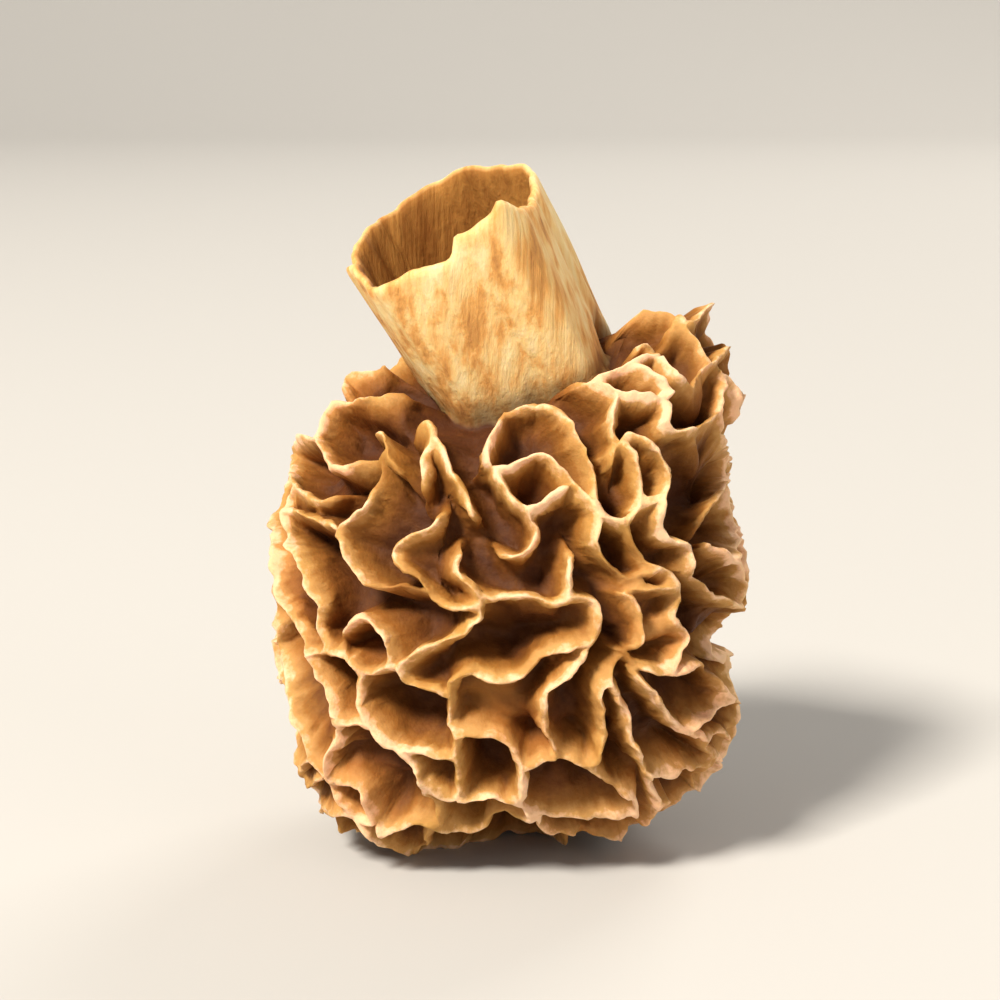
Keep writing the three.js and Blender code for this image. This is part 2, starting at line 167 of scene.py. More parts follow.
# Ridges on the front, each from bend to bend, in the same measure.
frontRidges = [
    [(-9.8, 6.2), (-9.2, 6.7), (-8.6, 6.8), (-8.4, 6.3), (-8.2, 5.7), (-7.7, 5.3), (-7, 5.3),
     (-6.4, 5.6), (-5.5, 6.2)],
    [(-8.6, 6.8), (-8.3, 7.4), (-8.1, 8.1), (-7.4, 8.6), (-6.7, 8.7), (-5.8, 8.6), (-5.3, 9),
     (-4.6, 9.5)],
    [(-6.6, 6.8), (-6.2, 7.1), (-5.9, 7.1), (-5.6, 6.9), (-5.4, 6.4), (-5.3, 6), (-5, 5.5),
     (-4.5, 4.9)],
    [(-5.8, 5.8), (-5.9, 5.2), (-6, 4.6), (-6.1, 4), (-6.5, 3.4), (-7, 3), (-7.5, 2.6)],
    [(-9.9, 6.2), (-9.8, 5.2), (-9.5, 4.5), (-9, 4.1), (-8.5, 3.9), (-8.1, 4), (-7.7, 4.3),
     (-7.5, 4.7)],
    [(-9.5, 4.5), (-9.9, 3.8), (-10, 3), (-10, 2.3), (-9.6, 1.6), (-9.2, 1), (-8.9, 0.3),
     (-8.5, -0.4), (-8.3, -1), (-8.5, -1.9), (-8.3, -2.5), (-7.9, -3)],
    [(-10.5, 4.2), (-10.7, 3), (-10.6, 2), (-10.4, 1.2), (-10.4, 0.1), (-10.1, -0.8),
     (-9.7, -1.5), (-9.2, -2.2), (-8.9, -3), (-8.6, -3.7), (-8.2, -4.4), (-7.6, -5.2), (-7.3, -6),
     (-7.4, -6.8), (-7.8, -7.8), (-7.9, -8.5)],
    [(-10.4, 0.1), (-10.6, -1), (-10.5, -2.2), (-10.6, -2.9), (-10.3, -3.6), (-10, -4.4),
     (-9.9, -5.1), (-9.6, -6), (-9.2, -6.7), (-9, -7.5), (-8.8, -8.2)],
    [(-10, 3.3), (-9.2, 3.3), (-8.3, 3), (-7.5, 2.6)],
    [(-7.5, 2.6), (-7.4, 2.1), (-7.1, 1.5), (-6.9, 1), (-6.5, 0.4), (-6, 0), (-5.5, -0.1),
     (-5, 0), (-4.6, -0.2), (-4.1, -0.4), (-3.6, -0.1)],
    [(-4.7, 7.2), (-4.1, 7.3), (-3.6, 7.2)],
    [(-3.4, 6.7), (-3.7, 6), (-3.8, 5.2), (-3.9, 4.5), (-4, 3.9)],
    [(-3.6, 7.3), (-3.3, 6.6), (-2.9, 5.8), (-2.6, 5.2), (-2.3, 4.6), (-2, 4), (-1.7, 3.4),
     (-1.3, 2.7)],
    [(-2.8, 4.1), (-3.1, 3.4), (-3.4, 2.9), (-3.8, 2.5), (-4.3, 2.2), (-4.8, 2), (-5.2, 1.7),
     (-5.1, 1.3), (-4.7, 0.9), (-4.1, 0.4), (-3.6, -0.1), (-3.3, -0.5), (-2.8, -0.8), (-2.1, -0.9),
     (-1.4, -0.7)],
    [(-1.9, 2.2), (-2.3, 1.8), (-2.6, 1.3), (-2.5, 0.8), (-2.1, 0.3), (-1.7, -0.1), (-1.4, -0.6),
     (-1.3, -1.1), (-1.5, -1.5), (-2, -1.9), (-2.8, -2.2), (-3.5, -2.7), (-4.2, -3), (-4.9, -3.6)],
    [(-1.4, -0.4), (-0.6, -0.3), (0.3, -0.3), (1, -0.4), (1.6, -0.7), (2.3, -0.4)],
    [(2.3, -0.4), (2.2, 0.4), (2.2, 1), (2.4, 1.6), (2.6, 2.3)],
    [(-1.1, 2.1), (-0.7, 1.7), (-0.1, 1.5), (0.5, 1.6), (0.8, 2.2), (0.8, 2.9), (0.4, 3.4),
     (-0.1, 3.9), (-0.6, 4.4), (-0.9, 5.1), (-1.1, 5.5), (-1, 6.2), (-0.8, 6.8), (-0.5, 7.5),
     (-0.1, 8.4)],
    [(0.5, 3.4), (1, 3.6), (1.5, 4), (2.1, 4.4)],
    [(-1.6, 5.3), (-0.9, 5.2), (-0.3, 5.2), (0.2, 5.5), (0.8, 6), (1.4, 5.7), (2, 5.2),
     (2.4, 4.7), (2.8, 4), (3.4, 3.5)],
    [(-0.3, 8), (0.4, 8.1), (1.1, 8.2), (1.8, 7.9), (2.4, 7.3), (2.6, 6.6), (2.9, 6), (3.2, 5.3),
     (3.3, 4.6), (3.3, 3.9), (3.6, 3.3), (4.2, 3), (4.8, 2.6), (5.1, 2.1), (5.4, 1.5), (5.9, 1),
     (6.5, 0.5), (7, 0), (7, -0.6), (6.8, -1.3), (7, -2), (7.4, -2.5), (7.1, -3.1), (6.5, -3.5),
     (5.8, -3.7), (5.1, -3.5), (4.6, -3.1)],
    [(2.3, 9.6), (3, 9.2), (3.6, 8.9), (4.1, 8.5), (4, 7.8), (4.1, 7), (4.1, 6.2), (4, 5.5),
     (4.2, 4.8)],
    [(4.1, 6.5), (4.7, 6.2), (5, 5.6), (5.1, 4.9), (5.3, 4.2), (5.1, 3.5), (4.8, 2.9)],
    [(4.4, 6.5), (5.1, 6.8), (5.7, 6.4), (6.1, 5.9), (6.4, 5.2), (6.3, 4.4), (6, 3.7), (6, 3.1),
     (6.2, 2.5), (6.7, 2.1), (7.3, 2), (7.4, 1.5), (7.3, 0.9), (7.7, 0.3), (8.3, 0), (9, -0.5),
     (9.6, -1), (10.2, -1.1), (10.6, -0.6), (10.5, 0), (9.8, 0.8), (9.1, 1.3), (8.3, 2)],
    [(4.1, 8.6), (5, 8.5), (5.7, 8.4), (6.3, 8.5), (6.4, 7.9), (6.2, 7.2), (6.5, 6.8), (7.2, 7),
     (7.8, 7.1), (8.4, 7.6), (8.9, 8.1)],
    [(3.4, 9.2), (4.2, 9.7), (4.9, 9.8), (5.6, 9.5), (6.2, 9.1), (6.5, 8.6)],
    [(4.5, 11.9), (5.3, 12.4), (5.9, 12.6), (6.4, 12.2), (7.1, 12), (7.8, 12), (8.4, 12.3),
     (9, 12.6), (9.3, 12), (9.5, 11.4), (9.7, 10.8)],
    [(6.9, 12), (6.8, 11.4), (6.4, 10.9), (5.8, 10.8), (5.1, 10.8), (4.5, 11.2)],
    [(6.3, 10.9), (6.1, 10.2), (6.5, 9.6), (7, 9.1), (7.7, 8.9), (8, 9.4), (8.4, 10), (9, 10.4),
     (9.7, 10.8)],
    [(6.9, 12), (7.4, 11.5), (7.9, 11.1), (8.2, 10.5), (8.5, 10.1)],
    [(4.9, 9.8), (5.6, 10.2), (6.2, 10.4)],
    [(9.2, 9.4), (9, 8.7), (8.9, 8.1), (8.9, 7.3), (8.9, 6.7), (9.2, 6.2), (9.7, 5.7),
     (10.2, 5.3)],
    [(7.7, 6.7), (8.2, 6.5), (8.5, 6.2)],
    [(10.2, 5.3), (9.4, 5), (8.9, 4.3), (8.5, 3.6), (8.1, 2.9), (8.2, 2.2)],
    [(10.1, 3.7), (9.8, 4.3), (9.4, 5)],
    [(3.5, 3.2), (3.4, 2.5), (3.4, 1.9), (3.7, 1.2), (4.2, 0.7), (4.9, 0.4), (5.6, 0.6),
     (6.2, 0.7)],
    [(4.6, -0.2), (5, -0.6), (5.4, -1.2), (5.5, -1.8), (5.3, -2.5), (4.8, -2.9), (4.3, -3)],
    [(4.6, -0.2), (5.4, 0), (6.2, -0.2), (6.9, 0)],
    [(2.3, -0.4), (2.9, -0.3), (3.4, -0.6), (3.7, -1.1), (3.6, -1.8), (3.2, -2.5), (2.8, -3.3),
     (2.2, -3.9), (1.6, -4.5), (1.2, -5.2), (1.2, -6), (1.4, -6.8), (1.9, -7.6), (2.6, -7.9),
     (3.2, -8.2), (3.9, -8.8), (4.7, -9.3), (5.3, -9.8), (5.2, -10.4)],
    [(3.3, -2.3), (2.4, -2.6), (1.3, -3), (0.5, -3.6), (-0.3, -4.2), (-1.1, -4.2), (-2, -3.6),
     (-2.7, -4.1), (-2.9, -5), (-2.8, -6), (-2.6, -6.8), (-2.5, -7.6), (-2.4, -8.6)],
    [(-2.6, -6.7), (-1.7, -6.8), (-0.9, -6.7), (-0.3, -7.1), (0.1, -7.7), (0.4, -8.1), (1, -7.9),
     (1.9, -7.7)],
    [(4.6, -3.1), (4, -3.9), (3.6, -4.5), (3.6, -5.2), (3.8, -6.2), (3.7, -7.2), (3.3, -8.2)],
    [(4, -4), (4.5, -5), (4.8, -6), (5.1, -7), (5.4, -8), (5.8, -8.9), (6.2, -9.9), (6.2, -10.8)],
    [(5.1, -3.7), (5.6, -4.5), (6.2, -5.4), (6.8, -6.2), (7.4, -6.7), (8, -7), (8.5, -7.6),
     (9.1, -8.4), (9.4, -9)],
    [(6.2, -3.6), (7, -3.8), (7.6, -3.7), (8.1, -3.7), (8.6, -4.2), (9.1, -4.8), (9.7, -5.4),
     (10.3, -6), (10.6, -6.7)],
    [(7.4, -6.7), (8, -6.2), (8.6, -5.9), (9.2, -5.6), (9.7, -5.4)],
    [(8.5, -7.5), (9, -7), (9.6, -7.3), (10.3, -7), (10.6, -6.7)],
    [(5.8, -8.7), (6.6, -8.8), (7.6, -8.7), (8.4, -8.6), (9.2, -8.6)],
    [(-7.9, -3), (-7.3, -3), (-6.9, -3.5), (-6.5, -3.9), (-5.9, -3.8), (-5.3, -3.5), (-5.1, -2.9),
     (-5.4, -2.1), (-6, -1.6), (-6.5, -1.2), (-7, -1.8), (-7.5, -2.4), (-7.3, -3)],
    [(-8.8, -3.2), (-8.3, -3), (-7.9, -3)],
    [(-5.2, -3.4), (-4.9, -3.9), (-4.7, -4.4), (-4, -4.5), (-3.4, -4.6), (-2.9, -5)],
    [(-6.5, -3.9), (-6.7, -4.6), (-6.7, -5.2), (-6.4, -5.8), (-6, -6.4), (-5.5, -7), (-5, -7.4),
     (-4.4, -8), (-4, -8.6), (-3.7, -9.3), (-3.4, -10), (-3.2, -10.8)],
    [(-5, -7.4), (-4.3, -7.4), (-3.6, -7.6), (-2.6, -7.7)],
    [(-7.3, -6), (-6.8, -6.2), (-6.2, -6.1)],
    [(-8.9, -8.1), (-9.4, -8.7), (-9.5, -9.4), (-9.2, -10), (-8.6, -10.4), (-7.8, -10.6),
     (-7, -11), (-6.4, -11.6), (-5.9, -12.3)],
    [(-8.9, -8.1), (-8.2, -8.4), (-7.6, -8.7), (-7, -8.6), (-6.4, -8.8), (-6, -9.3), (-5.7, -9.9),
     (-5.3, -10.7)],
    [(-7.8, -8.8), (-7.7, -9.4), (-7.4, -9.9), (-6.8, -10.1), (-6.2, -10.2), (-5.7, -10)],
    [(-9.2, -9.6), (-8.6, -9.1), (-8.1, -8.5)],
    [(-4, -8.7), (-3.2, -9.4), (-2.3, -9.7), (-1.4, -9.6), (-0.5, -9.7), (0.4, -10.3),
     (1.4, -10.6), (2.6, -10.6), (4, -10.5), (5.2, -10.2)],
    [(-2.4, -8.6), (-2.3, -9.7)],
    [(0.4, -8.1), (0.3, -9), (0.1, -9.9)],
]

# Broad knots between ridges, where the floor is high: across, up, its height, and how wide.
knots = [
    (-0.9, -5.4, 0.5, 1.7), (6.3, -1.9, 0.72, 0.9), (7.3, 5.6, 0.3, 0.8), (1.9, 8.2, 0.5, 0.8),
]


def unit(vectors):
    vectors = np.asarray(vectors, float)
    return vectors / np.linalg.norm(vectors, axis=-1, keepdims=True)


def swell(points, wave, shift):  # smooth unevenness between -1 and 1
    rate = 2 * math.pi / wave
    x, y, z = points[..., 0], points[..., 1], points[..., 2]
    along = np.sin(rate * (x + 0.41 * y) + shift)
    across = np.sin(rate * (0.87 * y - 0.36 * z) + 2.3 * shift)
    upward = np.sin(rate * (0.93 * z + 0.29 * x) + 4.1 * shift)
    return (along + across + upward) / 3


def floorRadius(directions):  # from the middle of the cap out to the pit floors
    boxy = (np.abs(directions / np.array(cap["halfSizes"])) ** cap["squareness"]).sum(-1)
    radius = boxy ** (-1 / cap["squareness"])
    lumps = swell(directions * radius[..., None], cap["lumpSpacing"], 0.7)
    radius = radius * (1 + cap["lumps"] * lumps)
    for towards, rise, width in cap["bulges"]:
        away = np.arccos(np.clip(directions @ unit(towards), -1, 1)) / width
        radius = radius + rise * np.exp(-(away**2))
    return radius - ridge["height"]


def atHeight(directions, height):
    return directions * (floorRadius(directions) + height)[..., None]


neckAxis = unit(neck["towards"])
neckSide = unit(np.array((1, 0, 0)) - neckAxis * neckAxis[0])
neckBack = np.cross(neckAxis, neckSide)


def roundNeck(angle, turn):
    turn = np.asarray(turn, float)[..., None]
    sideways = neckSide * np.cos(turn) + neckBack * np.sin(turn)
    return neckAxis * math.cos(angle) + sideways * math.sin(angle)


def turnOf(points):
    return np.arctan2(points @ neckBack, points @ neckSide)


seedNow = 20117


def draw():  # numbers between 0 and 1, the same on every run
    global seedNow
    seedNow = (seedNow * 1664525 + 1013904223) % 2**32
    return seedNow / 2**32


def onFront(across, up):  # the direction of a point on the front, found again at each guess
    sin, cos = math.sin(viewedFrom), math.cos(viewedFrom)
    out = cap["halfSizes"][1]
    for guess in range(8):
        direction = unit((across, up * sin - out * cos, up * cos + out * sin))
        radius = floorRadius(direction) + ridge["height"]
        out = math.sqrt(max(0, radius**2 - across**2 - up**2))
    return direction


def placePits():
    inner = neck["halfAngle"] - neck["collar"]
    outer = neck["halfAngle"] + neck["collar"]
    turns = [(i + 0.4 * draw()) * 2 * math.pi / neck["pits"] for i in range(neck["pits"])]
    middles = [neckAxis] + [roundNeck(angle, turn) for angle in (inner, outer) for turn in turns]
    for across, up in frontPits:
        direction = onFront(across, up)
        if np.arccos(direction @ neckAxis) > outer + neck["clear"]:
            middles.append(direction)
    places = [atHeight(middle, 0) for middle in middles]
    variation, length = pit["uneven"]
    for attempt in range(pit["tries"]):  # the rest go wherever there is room
        z = 1 - 2 * draw()
        turn = 2 * math.pi * draw()
        aside = math.sqrt(1 - z * z)
        direction = np.array((aside * math.cos(turn), aside * math.sin(turn), z))
        if direction @ neckAxis > math.cos(outer):
            continue
        place = atHeight(direction, 0)
        downCap = (1 - direction @ neckAxis) / 2
        spacing = pit["nearStem"] + (pit["atCrown"] - pit["nearStem"]) * downCap
        spacing *= 1 + variation * swell(place, length, 3.1)
        if np.linalg.norm(np.array(places) - place, axis=1).min() > spacing:
            middles.append(direction)
            places.append(place)
    return np.array(middles)


pitMiddles = placePits()
stemPits = 1 + neck["pits"]  # the first ones lie inside the neck and only mark it off
print("placed", len(pitMiddles) - stemPits, "pits")


def ridgeShare(directions):  # how high the ridges stand, as a share of their full height
    places = atHeight(directions, 0)
    variation, length = ridge["unevenness"]
    share = ridge["level"] + variation * swell(places, length, 5.2)
    depth, length = ridge["sag"]
    return share - depth * np.clip(swell(places, length, 0.4) - 0.35, 0, 0.6)


def sectionAt(turns):  # the side of the stem: a circle with flatter sides and one fold
    faces, distances = zip(*stem["faces"])
    crisp = stem["crisp"]
    sides = (np.clip(np.cos(turns[:, None] - np.radians(faces)), 0, None) / distances) ** crisp
    place, depth, width = stem["fold"]
    fold = depth * np.exp(-(((np.degrees(turns) - place) / width) ** 2)) / stem["radius"]
    return 1 + (sides.sum(-1) ** (-1 / crisp) - 1) * stem["angular"] - fold


def cutAt(turns):  # the ragged cut end
    places, reaches = zip(*stem["cut"])
    reach = np.interp(np.degrees(turns), places, reaches, period=360)
    for count, start in stem["nicks"]:
        reach = reach + stem["nickDepth"] * np.sin(count * turns + start)
    return reach


stemAxis = unit(stem["towards"])
stemSide = unit(np.array((1, 0, 0)) - stemAxis * stemAxis[0])
stemBack = np.cross(stemAxis, stemSide)
stemTurns = np.arange(stem["points"]) * 2 * math.pi / stem["points"] - math.pi


def stemRing(along, wall):  # a ring round the stem, at these lengths from where it leaves the cap
    narrower = 1 - stem["taper"] * np.clip(1 - along / stem["length"], 0, 1)
    radius = stem["radius"] * narrower * sectionAt(stemTurns) - wall
    sides = stemSide * np.cos(stemTurns)[:, None] + stemBack * np.sin(stemTurns)[:, None]
    return np.array(stem["from"]) + sides * radius[:, None] + stemAxis * np.reshape(along, (-1, 1))


def footOfStem():  # how far along the stem each point of its foot lies, to stand on the cap
    along = np.zeros(stem["points"])
    for guess in range(12):
        foot = stemRing(along, 0)
        directions = unit(foot)
        gap = floorRadius(directions) - neck["depth"] - np.linalg.norm(foot, axis=1)
        along = np.clip(along + gap / (directions @ stemAxis), *stem["footRange"])
    return along


footAlong = footOfStem()
foot = unit(stemRing(footAlong, 0))
footTurns, footAngles = turnOf(foot), np.arccos(foot @ neckAxis)
footOrder = np.argsort(footTurns)


def pastFoot(directions):  # the angle from the foot of the stem, seen from the middle of the cap
    turns, angles = footTurns[footOrder], footAngles[footOrder]
    angles = np.interp(turnOf(directions), turns, angles, period=2 * math.pi)
    return np.arccos(np.clip(directions @ neckAxis, -1, 1)) - angles


def nearNeck(directions):  # 0 at the foot of the stem, and 1 a little way off
    share = np.clip(pastFoot(directions) / neck["foot"], 0, 1)
    return share * share * (3 - 2 * share)


def applyModifier(piece, name):
    bpy.ops.object.select_all(action="DESELECT")
    piece.select_set(True)
    bpy.context.view_layer.objects.active = piece
    bpy.ops.object.modifier_apply(modifier=name)


def dualMeshNodes():
    group = bpy.data.node_groups.new("pitsToRidges", "GeometryNodeTree")
    group.interface.new_socket("Geometry", in_out="INPUT", socket_type="NodeSocketGeometry")
    group.interface.new_socket("Geometry", in_out="OUTPUT", socket_type="NodeSocketGeometry")
    entry = group.nodes.new("NodeGroupInput")
    dual = group.nodes.new("GeometryNodeDualMesh")
    leave = group.nodes.new("NodeGroupOutput")
    group.links.new(entry.outputs[0], dual.inputs[0])
    group.links.new(dual.outputs[0], leave.inputs[0])
    return group


def ridgeNet():
    # A skin is stretched over the middles of the pits, and its dual is a net of ridge lines,
    # with one face for each pit.
    mesh = bpy.data.meshes.new("ridgeNet")
    mesh.from_pydata([tuple(middle) for middle in pitMiddles], [], [])
    net = bpy.data.objects.new("ridgeNet", mesh)
    bpy.context.collection.objects.link(net)
    bpy.ops.object.select_all(action="DESELECT")
    net.select_set(True)
    bpy.context.view_layer.objects.active = net
    bpy.ops.object.mode_set(mode="EDIT")
    bpy.ops.mesh.select_all(action="SELECT")
    bpy.ops.mesh.convex_hull(join_triangles=False)
    bpy.ops.object.mode_set(mode="OBJECT")
    net.modifiers.new("net", "NODES").node_group = dualMeshNodes()
    applyModifier(net, "net")
    bm = bmesh.new()
    bm.from_mesh(net.data)
    edges = [edge for edge in bm.edges if min(face.index for face in edge.link_faces) >= stemPits]
    lines = [unit([tuple(vert.co) for vert in edge.verts]) for edge in edges]
    bm.free()
    bpy.data.objects.remove(net)
    return [line for line in lines if np.linalg.norm(line[1] - line[0]) > 0.02]


def crestPlaces(directions):
    return atHeight(directions, ridge["height"])


def evenly(places, step):  # points along a line, one step apart
    lengths = np.concatenate(([0], np.cumsum(np.linalg.norm(np.diff(places, axis=0), axis=1))))
    stops = np.linspace(0, lengths[-1], max(2, round(lengths[-1] / step) + 1))
    return np.stack([np.interp(stops, lengths, places[:, axis]) for axis in range(3)], 1)


def rounded(places):  # cuts the corners off a line, and keeps its ends
    near = places[:-1] * 0.75 + places[1:] * 0.25
    far = places[:-1] * 0.25 + places[1:] * 0.75
    middle = np.stack([near, far], 1).reshape(-1, 3)
    return np.concatenate([places[:1], middle, places[-1:]])


def winding(places):  # sideways only, so that no ridge rises or sinks with it
    shift = 0
    for size, wave in ridge["folds"]:
        shift = shift + size * np.stack([swell(places, wave, s) for s in (1.3, 2.9, 4.4)], 1)
    outward = unit(places)
    return shift - outward * (shift * outward).sum(1, keepdims=True)


def joins(line, end, others):  # whether this end of a ridge runs into another one
    return np.linalg.norm(others - line[end], axis=1).min() < ridge["joined"]


def withoutStubs(lines):
    kept = []
    for number, line in enumerate(lines):
        others = np.concatenate([other for index, other in enumerate(lines) if index != number])
        length = np.linalg.norm(line[-1] - line[0])
        if length > ridge["stub"] or joins(line, 0, others) or joins(line, -1, others):
            kept.append(line)
    return kept


def drawRidges():
    # The front has its own ridges, and the rest has those of the net, which wind.
    towardsFront = np.array((0, -math.cos(viewedFrom), math.sin(viewedFrom)))
    netLines = ridgeNet()
    front = []
    for points in frontRidges:
        places = rounded(np.array([crestPlaces(onFront(*point)) for point in points]))
        front.append(crestPlaces(unit(evenly(places, ridge["step"] / 2))))
    traced = treeOf(np.concatenate(front))
    lines = []
    for ends in netLines:
        facing = (ends @ towardsFront).max()
        places = crestPlaces(ends)
        if facing > ridge["sides"]:  # only where the drawn ridges leave a gap, up to one of them
            rooms = [traced.find(place)[2] for place in places]
            if facing > ridge["limit"] or max(rooms) < ridge["gap"]:
                continue
            near = int(rooms[1] < rooms[0])
            if rooms[near] < ridge["gap"]:
                places[near] = traced.find(places[near])[0]
        places = evenly(places, ridge["step"] / 2)
        places = crestPlaces(unit(places))
        lines.append(crestPlaces(unit(places + winding(places))))
    attach = np.concatenate([line[[0, -1]] for line in lines])
    for number, line in enumerate(list(front)):
        others = np.concatenate([other for index, other in enumerate(front) if index != number])
        for end in (0, -1):
            reach = np.linalg.norm(attach - line[end], axis=1)
            onSide = unit(line[end]) @ towardsFront < 0.5 and reach.min() < ridge["reach"]
            if onSide and not joins(line, end, others):
                link = evenly(np.stack([line[end], attach[reach.argmin()]]), ridge["step"] / 2)
                front.append(crestPlaces(unit(link)))
    print("drew", len(front), "ridges on the front and", len(lines), "on the rest")
    return withoutStubs(front + lines)


def freeEnds(lines):  # how high each point of the ridges stands, as a share of its usual height
    shares = []
    for number, line in enumerate(lines):
        rest = lines[:number] + lines[number + 1 :]
        others = np.concatenate([other[::2] for other in rest])
        steps = np.linalg.norm(np.diff(line, axis=0), axis=1)
        along = np.concatenate(([0], np.cumsum(steps)))
        share = ridgeShare(unit(line))
        for end, fromEnd in ((0, along), (-1, along[-1] - along)):
            if not joins(line, end, others):
                share = share * np.clip(0.25 + 0.75 * fromEnd / ridge["freeEnd"], 0, 1)
        shares.append(share)
    return shares


def rowsOfPoints(lines):  # rows of points along the ridges, over their tops and down their sides
    rows = {offset: [] for offset, level in ridge["profile"]}
    for line in lines:
        line = evenly(line, ridge["step"])
        along = unit(np.gradient(line, axis=0))
        sideways = np.cross(unit(line), along)
        for offset in rows:
            if offset == 0:
                rows[offset].append(line)
                continue
            rows[offset] += [line + sideways * offset, line - sideways * offset]
            ends = ((line[0], -along[0], sideways[0]), (line[-1], along[-1], sideways[-1]))
            for place, out, side in ends:
                for angle in (-0.8, 0, 0.8):
                    around = out * math.cos(angle) + side * math.sin(angle)
                    rows[offset].append((place + around * offset)[None])
    return {offset: crestPlaces(unit(np.concatenate(row))) for offset, row in rows.items()}


def treeOf(places):
    tree = KDTree(len(places))
    for index, place in enumerate(places):
        tree.insert(place, index)
    tree.balance()
    return tree


def spreadPoints(lines):
    # The rows where they are not nearer to another ridge, and then the floors between the ridges.
    crests = treeOf(np.concatenate([evenly(line, 0.08) for line in lines]))
    kept, cells = [], {}
    cellSize = 0.3

    def addIfFree(place, room):
        cell = tuple(math.floor(value / cellSize) for value in place)
        for dx in (-1, 0, 1):
            for dy in (-1, 0, 1):
                for dz in (-1, 0, 1):
                    for other in cells.get((cell[0] + dx, cell[1] + dy, cell[2] + dz), ()):
                        if (other - place).length < room:
                            return
        cells.setdefault(cell, []).append(place)
        kept.append(place)

    edge = 0.03
    for offset, row in rowsOfPoints(lines).items():
        for place in row[pastFoot(unit(row)) > edge]:
            if offset == 0 or crests.find(place)[2] > offset - 0.03:
                addIfFree(Vector(place), 0.1 + 0.2 * offset)  # wider apart further out
    # a spiral that covers the whole cap evenly
    numbers = np.arange(pit["points"])
    turns = 2.39996 * numbers
    up = 1 - 2 * (numbers + 0.5) / pit["points"]
    flat = np.sqrt(1 - up * up)
    floor = crestPlaces(np.stack([flat * np.cos(turns), flat * np.sin(turns), up], 1))
    fromOthers, fromRidges = pit["apart"]
    for place in floor[pastFoot(unit(floor)) > edge + 0.02]:
        if crests.find(place)[2] > fromRidges:
            addIfFree(Vector(place), fromOthers)
    return np.array([tuple(place) for place in kept])


def coverCap(lines):
    # All points are laid out flat, round the crown, joined by triangles, and put back on the cap.
    directions = np.concatenate([foot, unit(spreadPoints(lines))])
    away = 1 - directions @ neckAxis
    flat = np.stack([directions @ neckSide, directions @ neckBack], 1) / away[:, None]
    rim = list(range(stem["points"]))
    result = delaunay_2d_cdt([Vector(point) for point in flat], [], [rim], 1, 1e-6, True)
    faces = np.array([[result[3][index][0] for index in face] for face in result[2]])
    inMouth = (faces < len(rim)).all(1) & (pastFoot(unit(directions[faces].mean(1))) < 0)
    faces = faces[~inMouth].tolist()

    shares = np.concatenate(freeEnds(lines))
    samples = treeOf(np.concatenate(lines))
    nearest = [samples.find(place) for place in crestPlaces(directions)]
    share = shares[[found[1] for found in nearest]]
    offsets, levels = zip(*ridge["profile"])
    distance = np.array([found[2] for found in nearest])
    level = np.interp(distance, offsets + (ridge["foot"],), levels + (0,))
    bottom = np.zeros(len(directions))
    for across, up, height, width in knots:
        apart = np.linalg.norm(crestPlaces(directions) - crestPlaces(onFront(across, up)), axis=1)
        bottom = np.maximum(bottom, height * np.exp(-((apart / width) ** 4)))
    near = nearNeck(directions)
    height = (bottom + np.maximum(share - bottom, 0) * level) * near
    drop = pit["dish"] * np.clip(distance - 0.5, 0, 1) + neck["depth"] * (1 - near)
    return directions, atHeight(directions, ridge["height"] * height - drop), height, faces


def growStem(bm, neckFace):
    # The neck is inset ring by ring, up the stem, over its cut end, down the bore, round the hollow.
    onStem = bm.verts.layers.float["onStem"]
    inside = bm.verts.layers.float["inside"]

    def nextRing(places, stemPart, insidePart):
        bmesh.ops.inset_individual(bm, faces=[neckFace], thickness=0)
        for vert, place in zip(neckFace.verts, places):
            vert.co = place
            vert[onStem] = stemPart
            vert[inside] = insidePart

    rings = stem["rings"]
    cut = stem["length"] + cutAt(stemTurns)
    for i in range(1, rings + 1):
        nextRing(stemRing(footAlong + (cut - footAlong) * i / rings, 0), min(1, i / 2), 0)
    nextRing(stemRing(cut + stem["lip"], stem["wall"] / 2), 1, 0.3)
    for i in range(rings, -1, -1):
        nextRing(stemRing(footAlong + (cut - footAlong) * i / rings, stem["wall"]), 1, 1)
    sideways = neckSide * np.cos(footTurns)[:, None] + neckBack * np.sin(footTurns)[:, None]
    edge, crown = cap["hollow"]["edge"], cap["hollow"]["crown"]
    last = cap["hollow"]["rings"] - 1
    for i in range(last + 1):
        angles = footAngles + edge + (crown - footAngles - edge) * i / last
        directions = neckAxis * np.cos(angles)[:, None] + sideways * np.sin(angles)[:, None]
        nextRing(atHeight(directions, -cap["wall"]), 1, 1)
    tip = bmesh.ops.poke(bm, faces=[neckFace])["verts"][0]
    tip.co = atHeight(-neckAxis, -cap["wall"])
    tip[onStem] = tip[inside] = 1


def coordsOf(mesh):
    flat = np.empty(len(mesh.vertices) * 3)
    mesh.vertices.foreach_get("co", flat)
    return flat.reshape(-1, 3)


def valuesOf(mesh, name):
    values = np.empty(len(mesh.vertices))
    mesh.attributes[name].data.foreach_get("value", values)
    return values


def noiseAt(places, size, shift=0):  # one value for each point, between about -1 and 1
    return np.array([noise.noise(place) for place in places / size + shift])[:, None]


